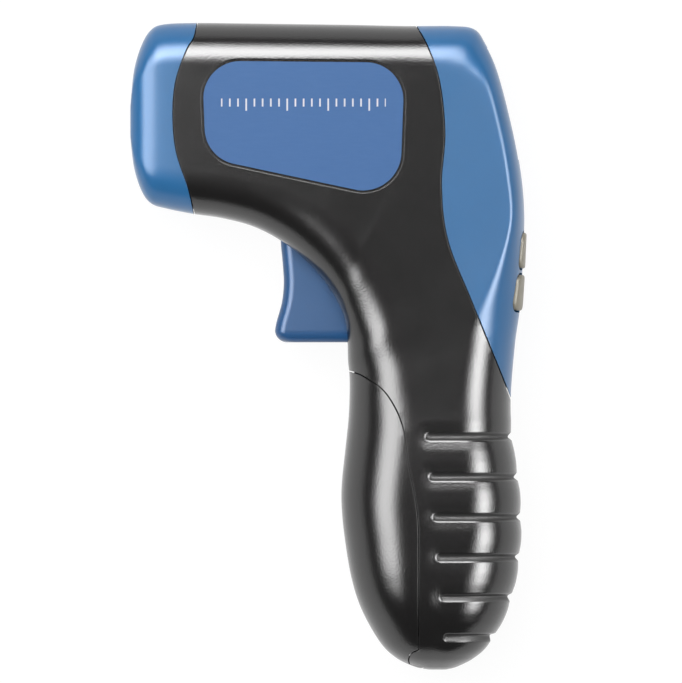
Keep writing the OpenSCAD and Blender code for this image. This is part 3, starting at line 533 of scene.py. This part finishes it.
def label_recess():
    """Room for the label: the hull of four circles."""
    spots = np.vstack([circle(*spot, FINE_ROUND) for spot in LABEL_CIRCLES])
    work = bmesh.new()
    for z in (HALF_W - RECESS, HALF_W + RECESS_OUT):
        for x, y in spots:
            work.verts.new((x, y, z))
    hull = bmesh.ops.convex_hull(work, input=work.verts)
    bmesh.ops.delete(work, geom=hull["geom_interior"], context="VERTS")
    bmesh.ops.dissolve_limit(work, angle_limit=RECESS_FLAT, verts=work.verts, edges=work.edges)
    return stored(work)


TRIGGER_LINE = curve(TRIGGER_FRONT, places(0, len(TRIGGER_FRONT) - 1, TRIGGER_STEPS))


def trigger_back(y):
    """How far back the trigger's straight back face is at a given height."""
    share = (y - BACK_TOP[1]) / (BACK_LOW[1] - BACK_TOP[1])
    return BACK_TOP[0] + share * (BACK_LOW[0] - BACK_TOP[0])


def trigger_slot():
    """Room for the trigger between the halves."""
    line = TRIGGER_LINE - (SLOT_GAP, 0)
    low = TRIGGER_LOW - SLOT_GAP
    outline = np.vstack([line, [(line[-1][0], low), (SLOT_BACK_LOW, low), (SLOT_BACK_TOP, line[0][1])]])
    half = TRIGGER_HALF + 2 * CLEARANCE
    return prism(outline, -half, half)


def halves():
    """The left and right half of the housing."""
    made = copied(outer)
    for seam in SEAMS.values():
        cut(made, region(*seam, SEAM_GAP / 2))
    add(made, shared(copied(outer), post(HINGE, KNUCKLE_R)))
    lip = loft(LIP_IN, *LIP_STATIONS, INNER_STEPS, INNER_ARC)
    for seam in SEAMS.values():
        cut(lip, region(*seam, -LIP_LEN))
    door_foot = box((FRONT - BEYOND, FOOT - BEYOND, -FAR), (HINGE[0] + SEAM_GAP / 2, DOOR_FOOT_TOP, FAR))
    add(made, cut(lip, door_foot))
    cut(made, cavity(), trigger_slot(), label_recess())
    knuckle_half = KNUCKLE_HALF + HINGE_GAP
    cut(made, post(HINGE, KNUCKLE_R + HINGE_GAP, -knuckle_half, knuckle_half))
    cut(made, post(HINGE, DOOR_PIN_R, -DOOR_PIN_HALF, DOOR_PIN_HALF))
    cut(made, post(PIVOT, PIN_R, -PIN_HALF, PIN_HALF))
    for spot in SCREWS:
        cut(made, post(spot, HEAD_R, -FAR, HEAD_SEAT), post(spot, SHANK_R, -FAR, 0),
            post(spot, THREAD_R, THREAD_START, THREAD_END))
    reach = 2 * FAR
    left = shared(copied(made), box((-reach, -reach, 0), (reach, reach, FAR)))
    right = shared(made, box((-reach, -reach, -FAR), (reach, reach, 0)))
    for spot in STANDOFFS:
        add(right, post(spot, STANDOFF_R, STANDOFF_LOW, STANDOFF_HIGH))
    return left, right


def trigger():
    """The blade, with a round front and toe, and the boss that it turns on."""
    turn = np.linspace(0, math.pi / 2, TRIGGER_ARC)
    ends = [(x, y, TRIGGER_HALF) for x, y in TRIGGER_LINE]
    x, y = TRIGGER_LINE[-1]
    for t in turn[1:]:
        inwards = TRIGGER_TOE * (1 - math.cos(t))
        ends.append((x + inwards, y - TRIGGER_TOE * math.sin(t), TRIGGER_HALF - TOE_TAPER * inwards))
    levels = []
    for x, y, half in ends:
        back = trigger_back(y)
        near = [(x + TRIGGER_ROUND * (1 - math.sin(t)), y, -half + TRIGGER_ROUND * (1 - math.cos(t)))
                for t in turn]
        away = [(px, py, -pz) for px, py, pz in near[::-1]]
        levels.append([(back, y, -half)] + near + away + [(back, y, half)])
    made = skin(np.array(levels))
    neck_x, neck_y = TRIGGER_LINE[0] + (NECK_IN, 0)
    neck = [(PIVOT[0], PIVOT[1] + TRIGGER_BOSS_R - NECK_DROP), (neck_x, neck_y + NECK_RISE),
            (neck_x, neck_y - NECK_DEEP), (BACK_TOP[0], neck_y - NECK_DEEP), BACK_TOP]
    boss = post(PIVOT, TRIGGER_BOSS_R, -TRIGGER_HALF, TRIGGER_HALF)
    add(made, boss, prism(neck, -TRIGGER_HALF, TRIGGER_HALF))
    return cut(made, post(PIVOT, PIN_R))


SPRING_FRONT = trigger_back(SPRING_Y) + CLEARANCE
SPRING_BACK = SPRING_FRONT + SPRING_LENGTH


def return_spring():
    """Coil of round wire behind the trigger."""
    turn = np.linspace(0, 2 * math.pi * SPRING_TURNS, TURN_STEPS * SPRING_TURNS + 1)
    along = np.linspace(SPRING_FRONT + WIRE_R, SPRING_BACK - WIRE_R, len(turn))
    outwards = np.column_stack([0 * turn, np.cos(turn), np.sin(turn)])
    path = np.column_stack([along, SPRING_Y + 0 * turn, 0 * turn]) + SPRING_R * outwards
    sideways = np.cross(unit(np.gradient(path, axis=0)), outwards)
    around = np.linspace(0, 2 * math.pi, WIRE_SIDES, endpoint=False)[None, :, None]
    wire = np.cos(around) * outwards[:, None] + np.sin(around) * sideways[:, None]
    return skin(path[:, None] + WIRE_R * wire)


def lcd_digits():
    """A row of seven-segment digits on the display panel."""
    wide, tall = DIGIT_SIZE
    uprights = [(side * wide / 2, half * tall / 4) for side in (-1, 1) for half in (-1, 1)]
    levels = [(0, half * tall / 2) for half in (-1, 0, 1)]
    work = bmesh.new()
    for place in range(DIGIT_COUNT):
        middle = (place - (DIGIT_COUNT - 1) / 2) * DIGIT_PITCH
        for spots, length, turned in ((levels, wide, False), (uprights, tall / 2, True)):
            tip, edge = length / 2 - BAR_GAP, BAR_WIDTH / 2
            one_side = [(-tip, 0), (edge - tip, -edge), (tip - edge, -edge)]
            bar = one_side + [(-p, -q) for p, q in one_side]
            for x, y in spots:
                flat = np.array([(q, p) if turned else (p, q) for p, q in bar]) + (x, y)
                flat[:, 0] += middle + DIGIT_LEAN * flat[:, 1]
                made = prism(flat + (0, DIGIT_RISE), 0, BAR_RAISED)
                work.from_mesh(made.data)
                bpy.data.objects.remove(made)
    return moved(stored(work), DISPLAY_FRAME @ Matrix.Translation((LCD_FRONT, 0, 0)) @ FACING_X)


def key(row, side):
    """A key with a round-edged top that follows the cover's surface."""
    place = key_place(row, side)
    out = place.to_3x3() @ Vector((1, 0, 0))
    shape = round_rect(KEY_SIZE[1], KEY_SIZE[0], KEY_CORNER)
    tops = []
    for t in np.linspace(0, math.pi / 2, KEY_EDGE_STEPS):
        shrink = 1 - KEY_EDGE * (1 - math.cos(t)) / (KEY_SIZE[1] / 2)
        tops.append((shape * shrink, KEY_EDGE * (1 - math.sin(t))))
    inner = tops[-1][0]
    tops += [(inner * share, 0) for share in KEY_TOP_SHARES]
    sections = [[tuple(place @ Vector((KEY_BASE, y, z))) for z, y in shape]]
    for flat, drop in tops:
        level = []
        for z, y in flat:
            hit = outer_surface.ray_cast(place @ Vector((KEY_ABOVE, y, z)), -out)[0]
            level.append(tuple(hit + out * (KEY_PROUD - drop)))
        sections.append(level)
    return skin(np.array(sections))


SHARP_ANGLE = math.radians(35)


def piece(name, made, body, material, nodes):
    """Turns a solid into a piece of the object, which may stand for CAD nodes."""
    made.data.transform(Matrix.Translation((0, 0, HALF_W * MM)) @ Matrix.Scale(MM, 4))
    made.name = made.data.name = name
    made.data.materials.clear()
    made.data.materials.append(material)
    made.data.polygons.foreach_set("use_smooth", [True] * len(made.data.polygons))
    made.data.set_sharp_from_angle(angle=SHARP_ANGLE)
    bpy.context.scene.collection.objects.link(made)
    scratch.objects.unlink(made)
    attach(made, body)
    if nodes:
        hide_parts(*nodes)
    return made


def put(tree, kind, inputs=None, **settings):
    """Adds a shader node. Inputs maps a socket's name or number to a value or to another node's output."""
    made = tree.nodes.new("ShaderNode" + kind)
    for name, value in settings.items():
        setattr(made, name, value)
    for name, value in (inputs or {}).items():
        if isinstance(value, bpy.types.NodeSocket):
            tree.links.new(value, made.inputs[name])
        else:
            made.inputs[name].default_value = value
    return made


def maths(tree, operation, a, b=0.0, c=0.0):
    return put(tree, "Math", {0: a, 1: b, 2: c}, operation=operation).outputs[0]


def mixed(tree, share, a, b):
    return put(tree, "Mix", {0: share, 6: a, 7: b}, data_type="RGBA").outputs[2]


def spread(tree, value, low, high, to_low=0.0, to_high=1.0, kind="LINEAR"):
    limits = {0: value, 1: low, 2: high, 3: to_low, 4: to_high}
    return put(tree, "MapRange", limits, interpolation_type=kind).outputs[0]


def object_spot(tree):
    """How far along and how far up the object a surface point lies, in metres."""
    place = put(tree, "SeparateXYZ", {0: put(tree, "TexCoord").outputs["Object"]})
    return place.outputs[0], place.outputs[1]


def noise(tree, scale, detail=2.0, stretch=(1, 1, 1)):
    coords = put(tree, "TexCoord").outputs["Object"]
    place = put(tree, "Mapping", {0: coords, "Scale": stretch}).outputs[0]
    return put(tree, "TexNoise", {"Vector": place, "Scale": scale, "Detail": detail}).outputs[0]


def started(name):
    made = bpy.data.materials.new(name)
    made.use_nodes = True
    tree = made.node_tree
    return made, tree, tree.nodes["Principled BSDF"]


def link(tree, output, shader, name):
    tree.links.new(output, shader.inputs[name])


def rgb(*values):
    return (*values, 1.0)


# Values that the finishes share: noise scales, bands of values that count, and strengths
MOTTLE_SCALE, SMEAR_SCALE, RUB_SCALE = 90, 220, 400
SMEAR_BAND, SMEAR = (0.3, 0.7), 0.006
RUB_BAND = (0.4, 0.65)
EDGE_BAND = (0.98, 0.8)
GRAIN_STRENGTH = 0.6
BEVEL_SAMPLES = 4
BARE_GAIN, BARE_LIFT = 2, 0.06
DUST_START = 0.2
CLOUD_SCALE, CLOUD_SHADE = 120, 0.96
HAZE_SCALE, HAZE_BAND, HAZE = 500, (0.3, 0.8), 0.04


def groove_dust(tree):
    """How far a spot lies inside a grip groove, from 0 to 1."""
    x, y = object_spot(tree)
    rise = maths(tree, "SUBTRACT", y, GROOVE_LOW * MM)
    across = maths(tree, "PINGPONG", rise, GROOVE_PITCH / 2 * MM)
    end = maths(tree, "MULTIPLY_ADD", rise, -GROOVE_LEAN / GROOVE_PITCH, GROOVE_LEFT * MM)
    short = maths(tree, "MAXIMUM", maths(tree, "SUBTRACT", end, x))
    flat = put(tree, "CombineXYZ", {0: short, 1: across}).outputs[0]
    away = put(tree, "VectorMath", {0: flat}, operation="LENGTH").outputs["Value"]
    above = maths(tree, "GREATER_THAN", rise, (GROOVE_COUNT - 0.5) * GROOVE_PITCH * MM)
    reach = GROOVE_REACH * MM
    return spread(tree, maths(tree, "ADD", away, above), DUST_START * reach, reach, 1, 0)


def finish(name, colour, rough, grain=1500, depth=0.00002, vary=0.15, metal=0.0, bevel=0.0, wear=0.0,
           stretch=(1, 1, 1), specular=0.5, dust=0.0):
    """A moulded, painted or metal surface: mottled colour, grain, and edges that are rounded and rubbed."""
    made, tree, shader = started(name)
    dark = rgb(*[c * (1 - vary) for c in colour])
    light = rgb(*[min(1, c * (1 + vary)) for c in colour])
    tint = mixed(tree, noise(tree, MOTTLE_SCALE, 3), dark, light)
    bump = {"Height": noise(tree, grain, 2, stretch), "Strength": GRAIN_STRENGTH, "Distance": depth}
    if bevel:
        normal = put(tree, "Bevel", {"Radius": bevel}, samples=BEVEL_SAMPLES).outputs[0]
        bump["Normal"] = normal
        flat = put(tree, "NewGeometry").outputs["Normal"]
        bend = put(tree, "VectorMath", {0: normal, 1: flat}, operation="DOT_PRODUCT").outputs["Value"]
        worn = spread(tree, noise(tree, RUB_SCALE), *RUB_BAND, 0, wear)
        rub = maths(tree, "MULTIPLY", spread(tree, bend, *EDGE_BAND), worn)
        tint = mixed(tree, rub, tint, rgb(*[min(1, c * BARE_GAIN + BARE_LIFT) for c in colour]))
    link(tree, put(tree, "Bump", bump).outputs[0], shader, "Normal")
    link(tree, tint, shader, "Base Color")
    dull = spread(tree, noise(tree, SMEAR_SCALE, 3), *SMEAR_BAND, rough - SMEAR, rough + SMEAR)
    if dust:
        dull = maths(tree, "ADD", dull, maths(tree, "MULTIPLY", groove_dust(tree), dust))
    link(tree, dull, shader, "Roughness")
    shader.inputs["Metallic"].default_value = metal
    shader.inputs["Specular IOR Level"].default_value = specular
    return made


def label_finish():
    """Printed foil: brushed blue with a plain white tick scale."""
    made, tree, shader = started("label_print")
    brushed = noise(tree, 900, 3, (0.3, 2, 1))
    blue = mixed(tree, brushed, rgb(0.043, 0.146, 0.380), rgb(0.051, 0.160, 0.405))
    x, y = object_spot(tree)
    step = maths(tree, "FRACT", maths(tree, "DIVIDE", x, TICK_PITCH * MM))
    long_step = maths(tree, "FRACT", maths(tree, "DIVIDE", x, LONG_EVERY * TICK_PITCH * MM))
    is_long = maths(tree, "LESS_THAN", long_step, TICK_SHARE)
    foot = spread(tree, is_long, 0, 1, TICK_FOOT * MM, LONG_FOOT * MM)
    from_middle = maths(tree, "ABSOLUTE", maths(tree, "SUBTRACT", x, SCALE_MIDDLE * MM))
    mask = maths(tree, "LESS_THAN", step, TICK_SHARE)
    for limit in (maths(tree, "LESS_THAN", from_middle, SCALE_HALF * MM),
                  maths(tree, "GREATER_THAN", y, foot),
                  maths(tree, "LESS_THAN", y, TICK_TOP * MM)):
        mask = maths(tree, "MULTIPLY", mask, limit)
    link(tree, mixed(tree, mask, blue, rgb(0.72, 0.75, 0.80)), shader, "Base Color")
    link(tree, spread(tree, brushed, *SMEAR_BAND, 0.28, 0.31), shader, "Roughness")
    shader.inputs["Specular IOR Level"].default_value = 0.25
    return made


def glass_finish(name, colour, rough):
    """Clear glass or plastic, very slightly clouded."""
    made, tree, shader = started(name)
    cloudy = rgb(*[c * CLOUD_SHADE for c in colour])
    link(tree, mixed(tree, noise(tree, CLOUD_SCALE), rgb(*colour), cloudy), shader, "Base Color")
    dull = spread(tree, noise(tree, HAZE_SCALE, 3), *HAZE_BAND, rough, rough + HAZE)
    link(tree, dull, shader, "Roughness")
    shader.inputs["Transmission Weight"].default_value = 1.0
    shader.inputs["IOR"].default_value = 1.5
    return made


black_plastic = finish("black_plastic", (0.0060, 0.0055, 0.0055), 0.20, 2200, 0.00007, 0.05, bevel=0.0002,
                       wear=0.05, specular=0.8, dust=0.4)
blue_plastic = finish("blue_plastic", (0.018, 0.152, 0.378), 0.28, 1800, 0.00002, 0.05, bevel=0.0002,
                      wear=0.1, specular=0.55)
# The trigger's material is the bezel's and cover's blue plastic, darkened: painted shade for the shadow
# that the barrel casts on the trigger.
trigger_plastic_painted_shade = finish("trigger_plastic_painted_shade", (0.016, 0.097, 0.265), 0.28, 1800, 0.00002, 0.05, bevel=0.0003,
                         wear=0.1, specular=0.55)
key_plastic = finish("key_plastic", (0.30, 0.275, 0.21), 0.45, 1500, 0.00001, 0.08, bevel=0.0003, wear=0.2)
lcd_ink = finish("lcd_ink", (0.085, 0.100, 0.070), 0.3, 900, 0.000004, 0.06)
steel = finish("pin_steel", (0.55, 0.56, 0.58), 0.28, 1200, 0.000004, 0.08, 1.0, stretch=(1, 1, 8))
circuit = finish("key_circuit", (0.03, 0.14, 0.06), 0.4, 700, 0.00004, 0.3)
battery_jacket = finish("battery_jacket", (0.035, 0.04, 0.05), 0.35, 700, 0.00001, 0.2, bevel=0.0003,
                        wear=0.4)
NODE_FINISHES = {
    "side_label": label_finish(),
    "trigger_switch": finish("switch_plastic", (0.022, 0.022, 0.024), 0.5),
    "key_switches": finish("switch_cans", (0.5, 0.5, 0.52), 0.35, metal=1.0),
    "display_window": glass_finish("window_pane", (0.93, 0.95, 0.95), 0.03),
    "lcd_panel": finish("lcd", (0.24, 0.28, 0.2), 0.25, 900, 0.000004, 0.06),
    "backlight": finish("diffuser", (0.75, 0.76, 0.68), 0.5),
    "nose_plate": finish("nose_black", (0.012, 0.012, 0.013), 0.5, 1800, 0.00002, 0.2, bevel=0.0002),
    "receiver_lens": glass_finish("lens_glass", (0.86, 0.92, 1.0), 0.01),
    "lens_barrel": finish("tube_black", (0.012, 0.012, 0.013), 0.55),
    "photodiode": finish("diode_filter", (0.04, 0.02, 0.035), 0.2),
    "laser_module": finish("brass", (0.60, 0.43, 0.16), 0.3, 1200, 0.000005, 0.1, 1.0, stretch=(8, 1, 1)),
    "controller_chip": finish("chip_epoxy", (0.015, 0.015, 0.017), 0.5),
    "battery": battery_jacket,
    "battery_clip": finish("clip_plastic", (0.015, 0.015, 0.017), 0.5),
    "battery_leads": finish("lead_insulation", (0.28, 0.02, 0.02), 0.4),
}
for name in ("trigger_pin", "board_screws", "housing_screws", "door_pin"):
    NODE_FINISHES[name] = steel
for name in ("key_board", "main_board", "display_board"):
    NODE_FINISHES[name] = circuit
for name, material in NODE_FINISHES.items():
    for holder in frame["nodes"][name].material_slots:
        holder.material = material

# The pieces
left, right = halves()
piece("housing_left", left, "frame", black_plastic, ["left_housing"])
piece("housing_right", right, "frame", black_plastic, ["right_housing"])
piece("bezel", front_bezel(), "frame", blue_plastic, ["front_bezel"])
piece("cover", rear_cover(), "frame", blue_plastic, ["rear_cover"])
piece("door", battery_door(), "battery_door_body", black_plastic, ["battery_door"])
piece("trigger_blade", trigger(), "trigger_body", trigger_plastic_painted_shade, ["trigger"])
for row, level in ((1, "upper"), (-1, "lower")):
    for side, hand in ((1, "left"), (-1, "right")):
        name = f"key_{level}_{hand}"
        piece(name + "_cap", key(row, side), name + "_body", key_plastic, [name])
piece("lcd_digits", lcd_digits(), "frame", lcd_ink, [])
spring = piece("return_spring", return_spring(), "frame", steel, ["trigger_spring"])
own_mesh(spring)
for rest in list(scratch.objects):
    bpy.data.objects.remove(rest)
bpy.data.collections.remove(scratch)

# Floor, light and camera, in metres
FLOOR_REACH, FLOOR_DROP = 12.0, 0.0002
FLOOR_UNSEEN, FLOOR_SEEN, FLOOR_GLOW = 0.8, 0.12, 0.93
LAMP_DISTANCE = 0.8
SIDE_LIGHT, DOME_LIGHT, TOP_LIGHT = 1.0, 0.3, 0.10
HORIZON_BAND, SIDE_BAND = (0.03, 0.15), (0.05, 0.6)
CAMERA_DISTANCE, CAMERA_REACH = 5.0, 40.0
CAMERA_SPOT = (0.00356, 0.00132)
FRAME_WIDTH = 0.1798
SENSOR_WIDTH = 36


def looked_at(tree):
    """1 for rays that see the background directly, in gloss or through glass, else 0."""
    path = put(tree, "LightPath")
    seen = path.outputs["Is Camera Ray"]
    for kind in ("Is Glossy Ray", "Is Transmission Ray"):
        seen = maths(tree, "MAXIMUM", seen, path.outputs[kind])
    return seen


def floor():
    """White where it is looked at, with a faint shadow."""
    mesh = bpy.data.meshes.new("floor")
    corners = [(x * FLOOR_REACH, y * FLOOR_REACH, 0) for x, y in ((-1, -1), (1, -1), (1, 1), (-1, 1))]
    mesh.from_pydata(corners, [], [(0, 1, 2, 3)])
    made = bpy.data.objects.new("floor", mesh)
    made.location.z = -FLOOR_DROP
    bpy.context.scene.collection.objects.link(made)
    paint, tree, shader = started("floor_paper")
    tree.nodes.remove(shader)
    unseen = put(tree, "BsdfDiffuse", {"Color": rgb(*[FLOOR_UNSEEN] * 3)}).outputs[0]
    faint = put(tree, "BsdfDiffuse", {"Color": rgb(*[FLOOR_SEEN] * 3)}).outputs[0]
    glow = put(tree, "Emission", {"Strength": FLOOR_GLOW}).outputs[0]
    white = put(tree, "AddShader", {0: faint, 1: glow}).outputs[0]
    both = put(tree, "MixShader", {0: looked_at(tree), 1: unseen, 2: white}).outputs[0]
    tree.links.new(both, tree.nodes["Material Output"].inputs["Surface"])
    mesh.materials.append(paint)


def softbox(name, direction, size, level, fade=(0, 0), gloss=True, colour=True):
    """A lamp that faces the object, fades towards its edge and isn't seen itself.

    It may light gloss, colour or both. Fade gives the share of its width and height that fades.
    """
    lamp = bpy.data.lights.new(name, "AREA")
    lamp.shape = "RECTANGLE"
    lamp.size, lamp.size_y = size
    lamp.energy = math.pi * size[0] * size[1] * level
    if any(fade):
        lamp.use_nodes = True
        tree = lamp.node_tree
        spot = put(tree, "SeparateXYZ", {0: put(tree, "NewGeometry").outputs["Parametric"]})
        bright = 1.0
        for across, share in zip(spot.outputs, fade):
            away = maths(tree, "ABSOLUTE", maths(tree, "SUBTRACT", across, 0.5))
            dimmed = spread(tree, away, 0.5 * (1 - share), 0.5, 1, 0, "SMOOTHSTEP")
            bright = maths(tree, "MULTIPLY", bright, dimmed)
        tree.links.new(bright, tree.nodes["Emission"].inputs["Strength"])
    made = bpy.data.objects.new(name, lamp)
    towards = Vector(direction).normalized()
    made.location = Vector((0, 0, HALF_W * MM)) + towards * LAMP_DISTANCE
    made.rotation_euler = towards.to_track_quat("Z", "Y").to_euler()
    made.visible_camera = False
    made.visible_glossy = gloss
    made.visible_diffuse = colour
    bpy.context.scene.collection.objects.link(made)


def studio_world():
    """White near the horizon where it is looked at, and otherwise soft light, stronger from the sides."""
    world = bpy.data.worlds.new("studio")
    bpy.context.scene.world = world
    world.use_nodes = True
    sky = world.node_tree
    up = put(sky, "SeparateXYZ", {0: put(sky, "TexCoord").outputs["Generated"]}).outputs[2]
    seen = spread(sky, up, *HORIZON_BAND, 1, TOP_LIGHT)
    unseen = spread(sky, up, *SIDE_BAND, SIDE_LIGHT, DOME_LIGHT)
    backdrop = sky.nodes["Background"]
    backdrop.inputs["Color"].default_value = rgb(1, 1, 1)
    sky.links.new(spread(sky, looked_at(sky), 0, 1, unseen, seen), backdrop.inputs["Strength"])


def photo_camera():
    """A camera far above the left side, as in the photograph."""
    data = bpy.data.cameras.new("camera")
    data.sensor_width = SENSOR_WIDTH
    data.lens = SENSOR_WIDTH * CAMERA_DISTANCE / FRAME_WIDTH
    data.clip_end = CAMERA_REACH
    camera = bpy.data.objects.new("camera", data)
    camera.location = (*CAMERA_SPOT, HALF_W * MM + CAMERA_DISTANCE)
    bpy.context.scene.collection.objects.link(camera)
    bpy.context.scene.camera = camera


floor()
softbox("fill_softbox", (-0.2, 0.25, 1.0), (0.7, 0.7), 2.9, gloss=False)
softbox("top_softbox", (0, 0.84, 1.0), (0.80, 0.86), 14.0, (0.3, 0.8), colour=False)
softbox("left_softbox", (-0.68, 0.22, 1.0), (1.40, 0.76), 9.5, (0.6, 0.7), colour=False)
softbox("right_softbox", (0.98, -0.2, 1.0), (1.40, 0.86), 15.0, (1.0, 1.0), colour=False)
studio_world()
photo_camera()
bpy.context.scene.view_settings.view_transform = "Standard"
